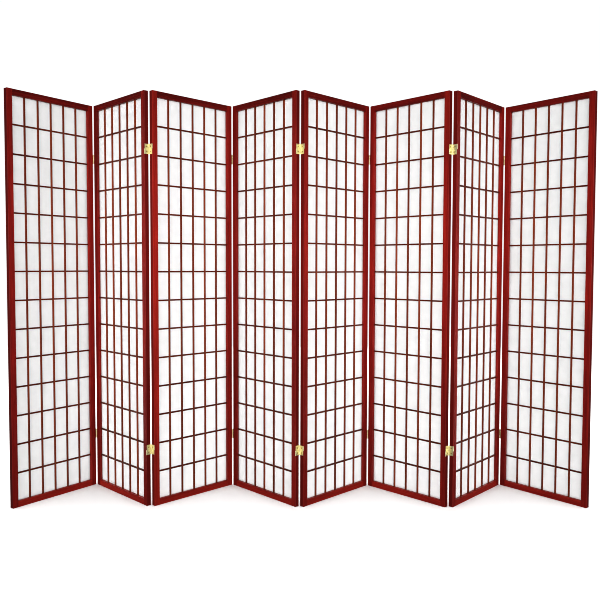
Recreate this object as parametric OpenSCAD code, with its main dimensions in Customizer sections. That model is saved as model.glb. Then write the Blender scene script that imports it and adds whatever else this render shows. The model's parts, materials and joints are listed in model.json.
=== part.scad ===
// Folding shoji screen: hinged wooden panels with a half-lapped lattice and paper.
//
// The screen stands on the floor in a zigzag. Millimetres, +Z up, front towards -Y.
// The origin is on the floor, at the middle of the screen's box.
// Each panel is made in its own frame: x along its width from its left outer edge,
// y from the middle of its thickness towards its back, and z up from the floor.
// Panels are numbered from the left, and fold k joins panel k to panel k + 1.
// Odd folds turn about their front pins, and even folds about their back pins.

/* [Screen] */
// Number of panels
panel_count = 8; // [2:1:8]
// Angle between the two panels at each fold, in degrees, from the left
fold_angles = [80, 88.5, 87.5, 87, 88, 85.5, 81.5];

/* [Panel] */
// Width of one panel
panel_w = 438; // [300:1:700]
// Height of one panel
panel_h = 1784; // [1400:1:2400]
// Thickness of the frame
panel_t = 19; // [16:0.5:30]

/* [Frame] */
// Face width of each stile
stile_w = 26.5; // [24:0.5:60]
// Face height of each rail
rail_h = 26.5; // [20:0.5:80]
// Rounding of the panel's outer corners, seen from the front
corner_r = 3.5; // [1:0.5:8]
// Rounding of the stiles' outer long edges
ease_r = 1.5; // [0.5:0.25:4]
// Length of the tenon on each end of a rail
tenon_l = 16; // [8:1:18]
// Thickness of that tenon
tenon_t = 7; // [4:0.5:10]
// Shoulder above and below that tenon
tenon_shoulder = 4.5; // [2:0.5:8]

/* [Lattice] */
// Panes across one panel
pane_columns = 6; // [2:1:10]
// Panes from top to bottom of one panel
pane_rows = 14; // [2:1:20]
// Face width of each lattice bar
bar_w = 6.4; // [4:0.2:12]
// Depth of each lattice bar, from front to back
bar_d = 6.4; // [4:0.2:9]
// How far the bars lie behind the front of the frame
bar_setback = 5.6; // [2:0.2:8]
// Length of the stub tenon on each end of a bar
stub_l = 5; // [2:0.5:6]
// Gap round one bar where it laps another
lap_clear = 0.05; // [0.02:0.01:0.2]

/* [Paper] */
// Thickness of the paper behind the lattice
paper_t = 0.3; // [0.2:0.1:1]

/* [Hinges] */
// Height of one hinge
hinge_h = 43; // [36:1:80]
// From the top of a panel down to the middle of its upper hinge
hinge_from_top = 246; // [100:1:500]
// From the floor up to the middle of its lower hinge
hinge_from_floor = 246; // [100:1:500]
// Thickness of the hinge plates
leaf_t = 0.8; // [0.8:0.1:2]
// Diameter of each hinge pin
pin_d = 2; // [2:0.1:5]
// Gap between a pin and its bore, all round
pin_clear = 0.05; // [0.02:0.01:0.1]
// Gap between one knuckle and the next
knuckle_gap = 0.3; // [0.1:0.05:0.5]
// Gap between a link plate and the knuckles that it faces
link_clear = 0.3; // [0.2:0.05:0.8]

/* [Screws] */
// Diameter of a screw's shank
screw_d = 3; // [2:0.1:4]
// Diameter of a screw's countersunk head
screw_head_d = 6; // [4.5:0.1:8]
// Length of a screw
screw_l = 14; // [8:1:18]
// Gap round a screw in its hole
screw_clear = 0.05; // [0.02:0.01:0.2]
// Diameter of the driver's hole in a link, over a screw's head
driver_hole_d = 7.5; // [6.5:0.1:11]

/* [Hidden] */
$fn = 48;
EPS = 0.5;                  // how far a cut runs past a face, or a joined shape into its mate
MORTISE_END = 0.5;          // air at the bottom of a mortise or a screw hole
SLOT_W = 0.9;               // width of each slot in a screw's cross recess
SLOT_L = 3.6;               // length of each slot
SLOT_DEPTH = 0.8;           // depth of the recess
KNUCKLES = 3;               // knuckles in each half of a hinge: leaf, link, leaf

WOOD = [0.47, 0.09, 0.07];
LATTICE_WOOD = [0.42, 0.08, 0.06];
PAPER = [0.95, 0.95, 0.93];
BRASS = [0.87, 0.77, 0.42];
SCREW_BRASS = [0.80, 0.68, 0.35];

// frame and lattice
opening_w = panel_w - 2 * stile_w;
opening_h = panel_h - 2 * rail_h;
column_bars = pane_columns - 1;
row_bars = pane_rows - 1;
pane_w = (opening_w - column_bars * bar_w) / pane_columns;
pane_h = (opening_h - row_bars * bar_w) / pane_rows;
front_y = -panel_t / 2;
bar_y = front_y + bar_setback;
paper_y = bar_y + bar_d;
bar_xs = [for (k = [1:column_bars]) stile_w + k * pane_w + (k - 1) * bar_w];
bar_zs = [for (k = [1:row_bars]) rail_h + k * pane_h + (k - 1) * bar_w];

// hinges: a rolled knuckle is as wide as the space between two panels that lie flat
barrel_r = pin_d / 2 + pin_clear + leaf_t;
panel_gap = 2 * barrel_r;
axis_y = panel_t / 2 + barrel_r;
half_h = hinge_h / 2;
knuckle_h = (half_h - (KNUCKLES - 0.5) * knuckle_gap) / KNUCKLES;
screw_z = half_h / 2;
hinge_zs = [hinge_from_floor, panel_h - hinge_from_top];

// where each panel stands, worked out along the chain from the first
function turn(k) = (k % 2 == 1 ? -1 : 1) * (180 - fold_angles[k - 1]);
function raw_heading(i) = i == 1 ? 0 : raw_heading(i - 1) + turn(i - 1);
function total(list, k = 0) = k == len(list) ? 0 : list[k] + total(list, k + 1);
mean_heading = total([for (i = [1:panel_count]) raw_heading(i)]) / panel_count;
function heading(i) = raw_heading(i) - mean_heading;

// a point of panel i's frame, turned to the screen's directions
function turned(i, p) = let (a = heading(i))
    [p.x * cos(a) - p.y * sin(a), p.x * sin(a) + p.y * cos(a)];
function pin_side(k) = k % 2 == 1 ? -1 : 1;
function raw_place(i) = i == 1 ? [0, 0] : raw_place(i - 1)
    + turned(i - 1, [panel_w + panel_gap / 2, pin_side(i - 1) * axis_y])
    - turned(i, [-panel_gap / 2, pin_side(i - 1) * axis_y]);

// the screen's box in plan, from the round corners and knuckles that reach its sides
function end_circles(i, x, inwards, hinged) = [
    for (side = [-1, 1]) each [
        [raw_place(i) + turned(i, [x + inwards * ease_r, side * (panel_t / 2 - ease_r)]), ease_r],
        if (hinged) [raw_place(i) + turned(i, [x - inwards * barrel_r, side * axis_y]), barrel_r]
    ]
];
circles = [
    for (i = [1:panel_count]) each concat(
        end_circles(i, 0, 1, i > 1),
        end_circles(i, panel_w, -1, i < panel_count))
];
function middle(n) = (min([for (c = circles) c[0][n] - c[1]])
    + max([for (c = circles) c[0][n] + c[1]])) / 2;
centre = [middle(0), middle(1)];

KINDS = ["stiles", "rails", "lattice", "paper", "hinge_leaves", "hinge_links", "hinge_fixings"];

// ---- placing ----

module on_panel(i) {
    place = raw_place(i) - centre;
    translate([place.x, place.y, 0]) rotate([0, 0, heading(i)]) children();
}

// Children made for the panel's left side, drawn at both sides
module both_sides() {
    children();
    translate([panel_w, 0, 0]) rotate([0, 0, 180]) children();
}

// Children made for the left leaf of a hinge, at each hinge of panel i, in its frame
module at_hinges(i) {
    for (z = hinge_zs) {
        if (i < panel_count) translate([panel_w + panel_gap / 2, 0, z]) children();
        if (i > 1) translate([-panel_gap / 2, 0, z]) rotate([0, 0, 180]) children();
    }
}

// Children made for the upper half of a hinge, at its lower half
module lower_half() {
    mirror([0, 0, 1]) children();
}

// ---- the panel's woodwork ----

// A rectangle from the origin with its two left corners rounded
module left_rounded(w, h, r) {
    translate([r, 0]) square([w - r, h]);
    translate([0, r]) square([w, h - 2 * r]);
    for (y = [r, h - r]) translate([r, y]) circle(r);
}

module stile_blank() {
    intersection() {
        translate([0, front_y, 0]) linear_extrude(panel_h) left_rounded(stile_w, panel_t, ease_r);
        translate([0, panel_t / 2, 0]) rotate([90, 0, 0])
            linear_extrude(panel_t) left_rounded(stile_w, panel_h, corner_r);
    }
}

// One rail at height z, with a tenon at each end; grow lengthens the tenons
module rail(z, grow = 0) {
    translate([stile_w, front_y, z]) cube([opening_w, panel_t, rail_h]);
    translate([stile_w - tenon_l - grow, -tenon_t / 2, z + tenon_shoulder])
        cube([opening_w + 2 * (tenon_l + grow), tenon_t, rail_h - 2 * tenon_shoulder]);
}

// One upright bar at x before it is notched; grow lengthens its stubs
module upright_blank(x, grow = 0) {
    translate([x, bar_y, rail_h - stub_l - grow])
        cube([bar_w, bar_d, opening_h + 2 * (stub_l + grow)]);
}

// One level bar at height z before it is notched; grow lengthens its stubs
module level_blank(z, grow = 0) {
    translate([stile_w - stub_l - grow, bar_y, z])
        cube([opening_w + 2 * (stub_l + grow), bar_d, bar_w]);
}

// Half-lap notches: the uprights lose their back half, and the level bars their front half
module upright_bar(x) {
    difference() {
        upright_blank(x);
        for (z = bar_zs) translate([x - EPS, bar_y + (bar_d - lap_clear) / 2, z - lap_clear])
            cube([bar_w + 2 * EPS, bar_d, bar_w + 2 * lap_clear]);
    }
}

module level_bar(z) {
    difference() {
        level_blank(z);
        for (x = bar_xs) translate([x - lap_clear, bar_y - (bar_d - lap_clear) / 2, z - EPS])
            cube([bar_w + 2 * lap_clear, bar_d, bar_w + 2 * EPS]);
    }
}

module stiles(i) {
    color(WOOD) on_panel(i) difference() {
        both_sides() stile_blank();
        for (z = [0, panel_h - rail_h]) rail(z, MORTISE_END);
        for (z = bar_zs) level_blank(z, MORTISE_END);
        at_hinges(i) both_screws(screw_clear, MORTISE_END);
    }
}

module rails(i) {
    color(WOOD) on_panel(i) difference() {
        for (z = [0, panel_h - rail_h]) rail(z);
        for (x = bar_xs) upright_blank(x, MORTISE_END);
    }
}

module lattice(i) {
    color(LATTICE_WOOD) on_panel(i) {
        for (x = bar_xs) upright_bar(x);
        for (z = bar_zs) level_bar(z);
    }
}

module paper(i) {
    color(PAPER) on_panel(i)
        translate([stile_w, paper_y, rail_h]) cube([opening_w, paper_t, opening_h]);
}

// ---- one hinge, its origin midway between two panels that lie flat ----
// Each half, upper and lower, is a link with a ring at its front and back pins. The left
// leaf holds the lower link's front pin and the upper link's back pin, and the right leaf,
// which is the left one turned half a turn, holds the other two.

// Height of the foot of knuckle k in the upper half, counted from the middle
function knuckle_z(k) = knuckle_gap / 2 + k * (knuckle_h + knuckle_gap);

module leaf_knuckles(side) {
    for (k = [0, KNUCKLES - 1]) translate([0, side * axis_y, knuckle_z(k)]) difference() {
        union() {
            cylinder(r = barrel_r, h = knuckle_h);
            translate([-barrel_r, side < 0 ? 0 : -barrel_r - EPS, 0])
                cube([leaf_t, barrel_r + EPS, knuckle_h]);
        }
        translate([0, 0, -EPS]) cylinder(d = pin_d + 2 * pin_clear, h = knuckle_h + 2 * EPS);
    }
}

module leaf() {
    difference() {
        union() {
            translate([-barrel_r, front_y, -half_h]) cube([leaf_t, panel_t, hinge_h]);
            leaf_knuckles(1);
            lower_half() leaf_knuckles(-1);
        }
        both_screws(screw_clear, MORTISE_END);
    }
}

module link() {
    reach = axis_y - barrel_r - link_clear;
    foot = knuckle_z(0);
    difference() {
        union() {
            translate([-leaf_t / 2, -reach, foot]) cube([leaf_t, 2 * reach, half_h - foot]);
            translate([-leaf_t / 2, -axis_y, knuckle_z(1)]) cube([leaf_t, 2 * axis_y, knuckle_h]);
            for (side = [-1, 1]) translate([0, side * axis_y, knuckle_z(1)])
                cylinder(r = barrel_r, h = knuckle_h);
        }
        for (side = [-1, 1]) translate([0, side * axis_y, foot])
            cylinder(d = pin_d + 2 * pin_clear, h = half_h);
        translate([-leaf_t, 0, screw_z]) rotate([0, 90, 0])
            cylinder(d = driver_hole_d, h = 2 * leaf_t);
    }
}

module pin(side) {
    translate([0, side * axis_y, knuckle_z(0)]) cylinder(d = pin_d, h = half_h - knuckle_z(0));
}

// The outer shape of one screw in the upper half, or of its hole
module screw_body(clear = 0, end = 0) {
    head_h = (screw_head_d - screw_d) / 2;
    translate([leaf_t - barrel_r, 0, screw_z]) rotate([0, -90, 0]) {
        cylinder(d = screw_d + 2 * clear, h = screw_l + end);
        cylinder(d1 = screw_head_d + 2 * clear, d2 = screw_d + 2 * clear, h = head_h);
    }
}

module both_screws(clear, end) {
    screw_body(clear, end);
    lower_half() screw_body(clear, end);
}

module screw() {
    difference() {
        screw_body();
        translate([leaf_t - barrel_r - SLOT_DEPTH, 0, screw_z]) {
            translate([0, -SLOT_L / 2, -SLOT_W / 2]) cube([leaf_t, SLOT_L, SLOT_W]);
            translate([0, -SLOT_W / 2, -SLOT_L / 2]) cube([leaf_t, SLOT_W, SLOT_L]);
        }
    }
}

module hinge_leaves(i) {
    color(BRASS) on_panel(i) at_hinges(i) leaf();
}

// Odd panels carry the upper link of each of their hinges, and even panels the lower one
module hinge_links(i) {
    color(BRASS) on_panel(i) at_hinges(i) {
        if (i % 2 == 1) link();
        else lower_half() link();
    }
}

// The pins and screws of the panel's own leaves
module hinge_fixings(i) {
    color(SCREW_BRASS) on_panel(i) at_hinges(i) {
        pin(1);
        lower_half() pin(-1);
        screw();
        lower_half() screw();
    }
}

for (i = [1:panel_count]) {
    stiles(i);
    rails(i);
    lattice(i);
    paper(i);
    hinge_leaves(i);
    hinge_links(i);
    hinge_fixings(i);
}
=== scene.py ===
"""Looks for the folding shoji screen: stained wood, paper, brass, a white studio and the camera."""
import json
import math

import bpy
import numpy as np
from mathutils import Matrix, Vector


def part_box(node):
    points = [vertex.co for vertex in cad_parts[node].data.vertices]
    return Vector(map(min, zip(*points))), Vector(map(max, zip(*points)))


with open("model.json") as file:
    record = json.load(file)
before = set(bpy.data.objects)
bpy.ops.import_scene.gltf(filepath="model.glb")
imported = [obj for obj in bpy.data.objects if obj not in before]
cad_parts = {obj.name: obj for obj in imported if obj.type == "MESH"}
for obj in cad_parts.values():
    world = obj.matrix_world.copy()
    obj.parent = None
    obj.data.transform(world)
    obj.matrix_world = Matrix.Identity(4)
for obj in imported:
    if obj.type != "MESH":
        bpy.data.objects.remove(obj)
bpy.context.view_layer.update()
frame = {"nodes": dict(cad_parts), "record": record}

MM = 0.001
BAR = 6.4 * MM                           # width and depth of a lattice bar
PAPER_THICK = 0.3 * MM
BAR_MIDDLE = -(BAR + PAPER_THICK) / 2    # middle of the lattice's depth, from the paper's middle
NODES = frame["nodes"]
PANELS = len(frame["record"]["behaviour"]["bodies"])

# the camera, in metres and degrees in the object's frame
CAMERA_AT = (-0.040, -3.235, 1.041)
CAMERA_YAW, CAMERA_PITCH, CAMERA_ROLL = -0.643, -2.677, 0.148
CAMERA_LENS = 43.18
SENSOR_WIDTH = 36        # millimetres, as the lens

# cleaning of the imported meshes, with angles in degrees
WELD_DISTANCE = 0.01 * MM
FLAT_WITHIN = 0.5        # facets that meet within this angle are one face
SHARP_FROM = 40          # edges at least this sharp are rounded
EDGE_STEPS = 2
FACE_WEIGHT = 80

# how far every stick's cut moves in the board, in metres along, across and through its grain,
# and the irrational steps that keep one stick's cut from repeating another's
BOARD = np.array((1.7, 3.1, 2.3))
CUT_STEPS = np.array((0.6180339887, 0.7548776662, 0.5698402910))
TONE_STEP = 0.8191725134
STICKS_IN_PANEL = 37     # the number that keeps one panel's sticks apart from the next one's
FIRST_UPRIGHT = 500      # the number that keeps upright bars apart from level ones


# ---- panels ----

class Panel:
    """One panel's own frame: x along its width from the middle, y towards its back, z up."""

    def __init__(self, number):
        low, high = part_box(f"paper_{number}")
        run, rise = high.x - low.x, high.y - low.y
        self.number = number
        self.heading = math.atan2(rise, run) * (1 if number % 2 else -1)
        self.middle = (low + high) / 2

    def local(self, points):
        """Points of the object's frame as an array of x along the panel, y through it and z up."""
        c, s = math.cos(self.heading), math.sin(self.heading)
        away = points - np.array(self.middle)
        return np.stack((away[:, 0] * c + away[:, 1] * s,
                         away[:, 1] * c - away[:, 0] * s,
                         points[:, 2]), axis=1)


# ---- node helpers ----

def new_material(name):
    material = bpy.data.materials.new(name)
    material.use_nodes = True
    tree = material.node_tree
    shader = tree.nodes["Principled BSDF"]
    return material, tree, shader


def add(tree, kind, **values):
    """A new node, with its settings and its unlinked inputs by name."""
    node = tree.nodes.new(kind)
    for key, value in values.items():
        if hasattr(node, key):
            setattr(node, key, value)
        else:
            node.inputs[key.replace("_", " ")].default_value = value
    return node


def attribute(tree, name):
    return add(tree, "ShaderNodeAttribute", attribute_name=name)


def stretched(tree, vector, scale):
    """vector with its parts multiplied by scale."""
    node = add(tree, "ShaderNodeVectorMath", operation="MULTIPLY")
    tree.links.new(vector, node.inputs[0])
    node.inputs[1].default_value = scale
    return node.outputs[0]


def noise(tree, vector, scale, detail, rough=0.55, distortion=0.0):
    node = add(tree, "ShaderNodeTexNoise",
               Scale=scale, Detail=detail, Roughness=rough, Distortion=distortion)
    tree.links.new(vector, node.inputs["Vector"])
    return node.outputs["Fac"]


def spread(tree, value, low, high, to_low=0.0, to_high=1.0):
    """value from low..high carried to to_low..to_high, and held inside them."""
    node = add(tree, "ShaderNodeMapRange", clamp=True)
    tree.links.new(value, node.inputs["Value"])
    node.inputs["From Min"].default_value = low
    node.inputs["From Max"].default_value = high
    node.inputs["To Min"].default_value = to_low
    node.inputs["To Max"].default_value = to_high
    return node.outputs["Result"]


def math_node(tree, operation, a, b):
    node = add(tree, "ShaderNodeMath", operation=operation)
    for socket, value in zip(node.inputs, (a, b)):
        if isinstance(value, (int, float)):
            socket.default_value = value
        else:
            tree.links.new(value, socket)
    return node.outputs[0]


def ramp(tree, value, stops):
    """A colour ramp: stops are (position, (r, g, b))."""
    node = add(tree, "ShaderNodeValToRGB")
    elements = node.color_ramp.elements
    while len(elements) < len(stops):
        elements.new(0.5)
    for element, (position, colour) in zip(elements, stops):
        element.position = position
        element.color = (*colour, 1)
    tree.links.new(value, node.inputs["Fac"])
    return node.outputs["Color"]


def mixed(tree, factor, a, b):
    """Colours a and b mixed; each is a socket or (r, g, b)."""
    node = add(tree, "ShaderNodeMix", data_type="RGBA")
    for name, value in (("Factor", factor), ("A", a), ("B", b)):
        socket = next(s for s in node.inputs if s.name == name and s.enabled)
        if isinstance(value, (int, float)):
            socket.default_value = value
        elif isinstance(value, tuple):
            socket.default_value = (*value, 1)
        else:
            tree.links.new(value, socket)
    return next(s for s in node.outputs if s.enabled)


def bump(tree, height, strength, distance):
    node = add(tree, "ShaderNodeBump", Strength=strength, Distance=distance)
    tree.links.new(height, node.inputs["Height"])
    return node.outputs["Normal"]


# ---- materials ----

def stained_wood(name, dark, mid, light, rim_darkening=0.0):
    """Rosewood stain over straight-grained softwood: streaks, pores and a thin satin lacquer.
    The mesh's "grain" vector runs along the fibre first, in metres, and "tone" is how light the
    piece is, from its own stain and from painted light and shade. "rim" is 1 on the panel's outer edges,
    which are made darker towards the dark colour.
    Each noise has its scale along, across and through the fibre, in cycles for each metre."""
    material, tree, shader = new_material(name)
    grain = attribute(tree, "grain").outputs["Vector"]
    tone = attribute(tree, "tone").outputs["Fac"]
    figure = noise(tree, stretched(tree, grain, (1.6, 42, 42)), 1.0, 4.0, 0.6, 0.4)
    streaks = noise(tree, stretched(tree, grain, (9, 420, 420)), 1.0, 5.0, 0.65)
    pores = noise(tree, stretched(tree, grain, (70, 2600, 2600)), 1.0, 2.0, 0.5)
    blotches = noise(tree, stretched(tree, grain, (5, 9, 9)), 1.0, 2.0, 0.5)
    depth = math_node(tree, "ADD", math_node(tree, "MULTIPLY", figure, 0.5),
                      math_node(tree, "MULTIPLY", streaks, 0.5))
    # tone moves the stain ramp: each board's own stain together with painted light and shade
    shade = math_node(tree, "ADD", depth, math_node(tree, "MULTIPLY", tone, 0.15))
    stain = ramp(tree, shade, [(0.30, dark), (0.52, mid), (0.74, light)])
    pore_mask = spread(tree, pores, 0.60, 0.70)
    pore_colour = tuple(c * 0.35 for c in dark)
    stain = mixed(tree, math_node(tree, "MULTIPLY", pore_mask, 0.55), stain, pore_colour)
    stain = mixed(tree, spread(tree, blotches, 0.35, 0.65, 0.0, 0.22), stain, dark)
    # the panel's outer edge faces are made darker, towards the dark colour
    rim = spread(tree, attribute(tree, "rim").outputs["Fac"], 0.998, 0.9995, 0.0, rim_darkening)
    stain = mixed(tree, rim, stain, dark)
    tree.links.new(stain, shader.inputs["Base Color"])
    tree.links.new(spread(tree, streaks, 0.3, 0.7, 0.46, 0.34), shader.inputs["Roughness"])
    relief = math_node(tree, "SUBTRACT", math_node(tree, "MULTIPLY", streaks, 0.5), pore_mask)
    tree.links.new(bump(tree, relief, 0.25, 0.00012), shader.inputs["Normal"])
    shader.inputs["Specular IOR Level"].default_value = 0.15
    shader.inputs["Coat Weight"].default_value = 0.06
    shader.inputs["Coat Roughness"].default_value = 0.22
    return material


def washi(name):
    """White shoji paper: long crossed fibres in a thin pulp, matt, with light coming through."""
    material, tree, shader = new_material(name)
    place = attribute(tree, "grain").outputs["Vector"]
    pulp = noise(tree, place, 28.0, 5.0, 0.6)
    cloud = noise(tree, place, 5.0, 2.0, 0.5)
    fibres = None
    for scale in ((40, 420, 40), (420, 60, 60), (150, 330, 330)):
        strand = noise(tree, stretched(tree, place, scale), 1.0, 2.0, 0.5, 1.6)
        off_line = math_node(tree, "ABSOLUTE", math_node(tree, "SUBTRACT", strand, 0.5), 0)
        line = spread(tree, off_line, 0.0, 0.012, 1.0, 0.0)
        fibres = line if fibres is None else math_node(tree, "MAXIMUM", fibres, line)
    colour = ramp(tree, pulp, [(0.3, (0.765, 0.765, 0.765)), (0.7, (0.805, 0.805, 0.805))])
    colour = mixed(tree, spread(tree, cloud, 0.35, 0.65, 0.0, 0.15), colour, (0.78, 0.776, 0.765))
    colour = mixed(tree, math_node(tree, "MULTIPLY", fibres, 0.35), colour, (0.86, 0.86, 0.855))
    tree.links.new(colour, shader.inputs["Base Color"])
    shader.inputs["Roughness"].default_value = 0.85
    shader.inputs["Specular IOR Level"].default_value = 0.2
    relief = math_node(tree, "ADD", pulp, math_node(tree, "MULTIPLY", fibres, 0.6))
    normal = bump(tree, relief, 0.3, 0.00015)
    tree.links.new(normal, shader.inputs["Normal"])
    through = add(tree, "ShaderNodeBsdfTranslucent")
    tree.links.new(colour, through.inputs["Color"])
    mix = add(tree, "ShaderNodeMixShader")
    mix.inputs[0].default_value = 0.68
    tree.links.new(shader.outputs[0], mix.inputs[1])
    tree.links.new(through.outputs[0], mix.inputs[2])
    tree.links.new(mix.outputs[0], tree.nodes["Material Output"].inputs["Surface"])
    return material


def brass(name, colour, worn, rough):
    """Polished brass with fine rolling marks and a little tarnish."""
    material, tree, shader = new_material(name)
    place = add(tree, "ShaderNodeTexCoord").outputs["Object"]
    marks = noise(tree, stretched(tree, place, (900, 900, 6000)), 1.0, 2.0, 0.5)
    tarnish = noise(tree, place, 120.0, 4.0, 0.6)
    tint = mixed(tree, spread(tree, tarnish, 0.42, 0.72, 0.0, 0.6), colour, worn)
    tree.links.new(tint, shader.inputs["Base Color"])
    shader.inputs["Metallic"].default_value = 1.0
    tree.links.new(spread(tree, tarnish, 0.3, 0.7, rough, rough + 0.14), shader.inputs["Roughness"])
    tree.links.new(bump(tree, marks, 0.12, 0.00004), shader.inputs["Normal"])
    return material


def studio_white(name, colour):
    """Plain matt white for the floor."""
    material, tree, shader = new_material(name)
    place = add(tree, "ShaderNodeTexCoord").outputs["Object"]
    patches = noise(tree, place, 1.5, 2.0)
    soft = ramp(tree, patches, [(0.0, tuple(c * 0.99 for c in colour)), (1.0, colour)])
    tree.links.new(soft, shader.inputs["Base Color"])
    shader.inputs["Roughness"].default_value = 0.9
    shader.inputs["Specular IOR Level"].default_value = 0.0
    return material


# ---- the CAD nodes: shading coordinates, materials and eased edges ----

def set_vector(mesh, name, values):
    layer = mesh.attributes.new(name, "FLOAT_VECTOR", "POINT")
    layer.data.foreach_set("vector", values.astype(np.float32).ravel())


def set_number(mesh, name, values):
    layer = mesh.attributes.new(name, "FLOAT", "POINT")
    layer.data.foreach_set("value", values.astype(np.float32))


def corners(mesh):
    points = np.zeros(len(mesh.vertices) * 3)
    mesh.vertices.foreach_get("co", points)
    return points.reshape(-1, 3)


def lay_grain(node, panel, along, member, tone):
    """Gives a node's vertices their place along and across the fibre. along is 0 where the fibre
    runs along the panel's width and 2 where it runs up. member numbers the separate sticks, and
    tone is how light each vertex is."""
    mesh = NODES[node].data
    local = panel.local(corners(mesh))
    across = 2 - along
    grain = np.stack((local[:, along], local[:, across], local[:, 1]), axis=1)
    member = member + STICKS_IN_PANEL * panel.number
    grain += BOARD * np.modf(member[:, None] * CUT_STEPS)[0]
    set_vector(mesh, "grain", grain)
    set_number(mesh, "tone", tone)
    set_number(mesh, "rim", np.abs(local[:, 0]) / np.abs(local[:, 0]).max())


def bar_grain(node, panel):
    """The lattice's uprights run up, and its level bars along the panel."""
    mesh = NODES[node].data
    local = panel.local(corners(mesh))
    grain, tone = np.zeros((len(local), 3)), np.zeros(len(local))
    for polygon in mesh.polygons:
        at = local[list(polygon.vertices)]
        size = at.max(0) - at.min(0)
        centre = at.mean(0)
        if max(size[0], size[2]) > BAR * 1.3:
            upright = bool(size[2] > size[0])
        else:
            upright = bool(centre[1] < BAR_MIDDLE)      # a half-lap's notch or a bar's end
        along, across = (2, 0) if upright else (0, 2)
        stick = round(centre[across] / BAR / 3) + STICKS_IN_PANEL * panel.number
        if upright:
            stick += FIRST_UPRIGHT
        cut = BOARD * (stick * CUT_STEPS % 1)
        # a random tone for each bar, plus painted light on the uprights and painted shade on the level bars
        shade = (2 * (stick * TONE_STEP % 1) - 1) * BAR_TONE_RANGE + BAR_LIGHT_AND_SHADE_TONES[upright]
        for v in polygon.vertices:
            grain[v] = local[v][[along, across, 1]] + cut
            tone[v] = shade
    set_vector(mesh, "grain", grain)
    set_number(mesh, "tone", tone)


def ease(node, width):
    """Welds the imported facets, and rounds the sharp edges by width."""
    thing = NODES[node]
    weld = thing.modifiers.new("weld", "WELD")
    weld.merge_threshold = WELD_DISTANCE
    planes = thing.modifiers.new("planes", "DECIMATE")
    planes.decimate_type = "DISSOLVE"
    planes.angle_limit = math.radians(FLAT_WITHIN)
    edge = thing.modifiers.new("edge", "BEVEL")
    edge.width = width
    edge.segments = EDGE_STEPS
    edge.limit_method = "ANGLE"
    edge.angle_limit = math.radians(SHARP_FROM)
    edge.harden_normals = False
    for polygon in thing.data.polygons:
        polygon.use_smooth = True
    smooth = thing.modifiers.new("normals", "WEIGHTED_NORMAL")
    smooth.keep_sharp = True
    smooth.weight = FACE_WEIGHT


def paint(node, material):
    slots = NODES[node].data.materials
    slots.clear()
    slots.append(material)


FRAME_WOOD = stained_wood("frame_rosewood", dark=(0.12, 0.0075, 0.0062),
                          mid=(0.30, 0.0155, 0.0108), light=(0.49, 0.034, 0.020), rim_darkening=0.65)
LATTICE_WOOD = stained_wood("lattice_rosewood", dark=(0.056, 0.0052, 0.0034),
                            mid=(0.20, 0.0340, 0.0095), light=(0.42, 0.085, 0.023))
PAPER = washi("washi_paper")
PLATE_BRASS = brass("hinge_brass", (0.79, 0.73, 0.47), worn=(0.55, 0.49, 0.26), rough=0.26)
PIN_BRASS = brass("pin_brass", (0.42, 0.35, 0.14), worn=(0.27, 0.21, 0.08), rough=0.32)

# Tones say how light a stick is: 0 is the middle of its stain. They mix each board's own stain with painted
# light and shade for how each stick faces the lamps, with a painted highlight on panel 3's left stile.
STILE_STAIN_AND_LIGHT_TONES = {1: (0.1, -0.2), 2: (-0.7, 0.1), 3: (1.0, 0.0), 4: (-0.7, 0.2),
               5: (0.2, -0.1), 6: (-0.1, 0.2), 7: (0.3, -0.1), 8: (-0.2, 0.1)}   # left and right
END_SHADE_TONE = -1.4          # painted shade: the first panel's free outer side face is painted dark
# painted shade on the top rails and painted light on the bottom rails
TOP_RAIL_SHADE_TONE, BOTTOM_RAIL_LIGHT_TONE = -0.8, 0.9
BAR_LIGHT_AND_SHADE_TONES = {True: 0.4, False: -1.15}    # upright bars painted lighter and level bars painted darker, as painted light and painted shade
BAR_TONE_RANGE = 0.4

# each kind of node's material, and how far its sharp edges are rounded
DRESS = {
    "stiles": (FRAME_WOOD, 0.8 * MM),
    "rails": (FRAME_WOOD, 0.8 * MM),
    "lattice": (LATTICE_WOOD, 0.35 * MM),
    "paper": (PAPER, None),
    "hinge_leaves": (PLATE_BRASS, 0.15 * MM),
    "hinge_links": (PLATE_BRASS, 0.15 * MM),
    "hinge_fixings": (PIN_BRASS, 0.12 * MM),
}


def dress_panel(number):
    panel = Panel(number)
    across = panel.local(corners(NODES[f"stiles_{number}"].data))[:, 0]
    # each stile's tone mixes its board's stain with painted highlight and painted shade
    left, right = STILE_STAIN_AND_LIGHT_TONES[number]
    tone = np.where(across < 0, left, right)
    # the first panel's outer side face is painted dark as painted shade
    if number == 1:
        tone[across < -0.999 * across.max()] = END_SHADE_TONE
    lay_grain(f"stiles_{number}", panel, 2, np.sign(across), tone)
    # top rails are painted darker and bottom rails lighter, as painted shade and painted light
    side = np.sign(panel.local(corners(NODES[f"rails_{number}"].data))[:, 2] - panel.middle.z)
    tone = np.where(side < 0, BOTTOM_RAIL_LIGHT_TONE, TOP_RAIL_SHADE_TONE)
    lay_grain(f"rails_{number}", panel, 0, 5 + side, tone)
    bar_grain(f"lattice_{number}", panel)
    plain = np.zeros(len(NODES[f"paper_{number}"].data.vertices))
    lay_grain(f"paper_{number}", panel, 0, plain, plain)
    for kind, (material, edge) in DRESS.items():
        paint(f"{kind}_{number}", material)
        if edge:
            ease(f"{kind}_{number}", edge)


for panel_number in range(1, PANELS + 1):
    dress_panel(panel_number)


# ---- studio ----

FLOOR_HALF = 6           # half the floor's side, in metres
TO_BACK, TO_FRONT = (0, 1, -0.05), (0, -1, -0.05)
TO_RIGHT, TO_LEFT = (1, 0.25, -0.05), (-1, 0.25, -0.05)
DOWN = (0, 0, -1)


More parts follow.
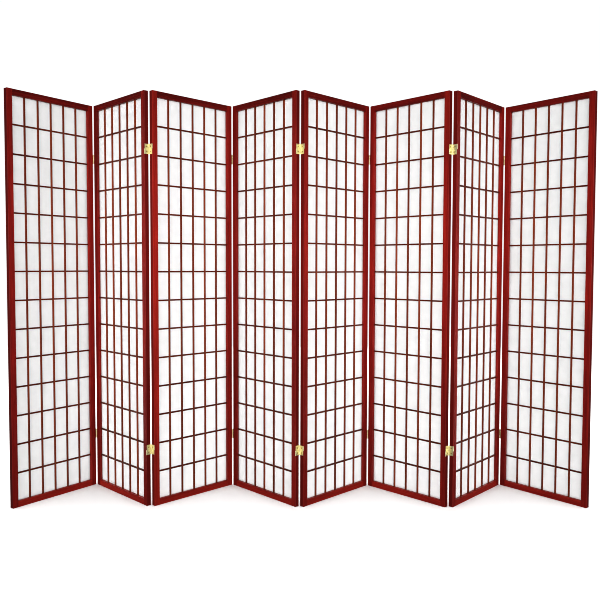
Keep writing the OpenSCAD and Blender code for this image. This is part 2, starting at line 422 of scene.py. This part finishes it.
def make_floor():
    """One wide white floor; what lies beyond it is the studio's white air."""
    mesh = bpy.data.meshes.new("studio_floor")
    corner = FLOOR_HALF
    mesh.from_pydata([(-corner, -corner, 0), (corner, -corner, 0), (corner, corner, 0),
                      (-corner, corner, 0)], [], [(0, 1, 2, 3)])
    floor = bpy.data.objects.new("studio_floor", mesh)
    bpy.context.scene.collection.objects.link(floor)
    mesh.materials.append(studio_white("studio_white", (0.93, 0.93, 0.93)))
    floor.visible_glossy = False
    floor.visible_diffuse = False
    floor.visible_shadow = False
    return floor


def light_only(thing, objects):
    lit = bpy.data.collections.new(f"{thing.name}_lit")
    for one in objects:
        lit.objects.link(one)
    thing.light_linking.receiver_collection = lit


def soft_light(name, at, aim, size, watts, cone, only):
    """A rectangular softbox that throws its light in a cone, in degrees, and lights only some objects."""
    lamp = bpy.data.lights.new(name, "AREA")
    lamp.shape = "RECTANGLE"
    lamp.size, lamp.size_y = size
    lamp.energy = watts
    lamp.spread = math.radians(cone)
    thing = bpy.data.objects.new(name, lamp)
    thing.location = at
    thing.rotation_euler = (Vector(aim) - Vector(at)).to_track_quat("-Z", "Y").to_euler()
    thing.visible_camera = False
    bpy.context.scene.collection.objects.link(thing)
    light_only(thing, only)


def even_light(name, toward, strength, angle, only):
    """Light of one strength all over the objects that it lights, as from a wide wall of softboxes:
    angle is its softness, in degrees."""
    lamp = bpy.data.lights.new(name, "SUN")
    lamp.energy = strength
    lamp.angle = math.radians(angle)
    thing = bpy.data.objects.new(name, lamp)
    thing.rotation_euler = Vector(toward).to_track_quat("-Z", "Y").to_euler()
    bpy.context.scene.collection.objects.link(thing)
    light_only(thing, only)


def make_world(shown, lit):
    """White studio air: shown is how bright it looks, lit how much light it throws on the object."""
    world = bpy.data.worlds.new("studio_air")
    bpy.context.scene.world = world
    world.use_nodes = True
    tree = world.node_tree
    path = tree.nodes.new("ShaderNodeLightPath")
    strength = tree.nodes.new("ShaderNodeMapRange")
    strength.inputs["To Min"].default_value = lit
    strength.inputs["To Max"].default_value = shown
    tree.links.new(path.outputs["Is Camera Ray"], strength.inputs["Value"])
    back = tree.nodes["Background"]
    back.inputs["Color"].default_value = (1, 1, 1, 1)
    tree.links.new(strength.outputs["Result"], back.inputs["Strength"])


def make_camera():
    data = bpy.data.cameras.new("camera")
    data.sensor_width = SENSOR_WIDTH
    data.lens = CAMERA_LENS
    camera = bpy.data.objects.new("camera", data)
    turn = (Matrix.Rotation(math.radians(CAMERA_YAW), 4, "Z")
            @ Matrix.Rotation(math.radians(90 + CAMERA_PITCH), 4, "X")
            @ Matrix.Rotation(math.radians(CAMERA_ROLL), 4, "Z"))
    camera.matrix_world = Matrix.Translation(CAMERA_AT) @ turn
    bpy.context.scene.collection.objects.link(camera)
    bpy.context.scene.camera = camera


make_camera()
studio_floor = make_floor()
make_world(shown=1.02, lit=0.14)
HINGES = [node for name, node in NODES.items() if name.startswith("hinge")]
PAPERS = [node for name, node in NODES.items() if name.startswith("paper")]
WOOD = [node for node in NODES.values() if node not in HINGES + PAPERS]
even_light("overhead", DOWN, 4.7, 110, [studio_floor])
even_light("front", TO_BACK, 2.3, 60, WOOD + HINGES)
even_light("back", TO_FRONT, 3.6, 80, WOOD + HINGES)
even_light("paper_front", TO_BACK, 4.2, 60, PAPERS)
even_light("paper_back", TO_FRONT, 5.6, 80, PAPERS)
even_light("left", TO_RIGHT, 0.2, 40, HINGES)
even_light("right", TO_LEFT, 0.2, 40, HINGES)
soft_light("key", at=(0.0, -5.0, 1.18), aim=(0.0, 0.0, 1.13), size=(4.0, 0.4), watts=8.8, cone=22, only=WOOD)
bpy.context.scene.view_settings.view_transform = "Standard"
bpy.context.scene.view_settings.gamma = 0.8
bpy.context.scene.cycles.filter_width = 0.9
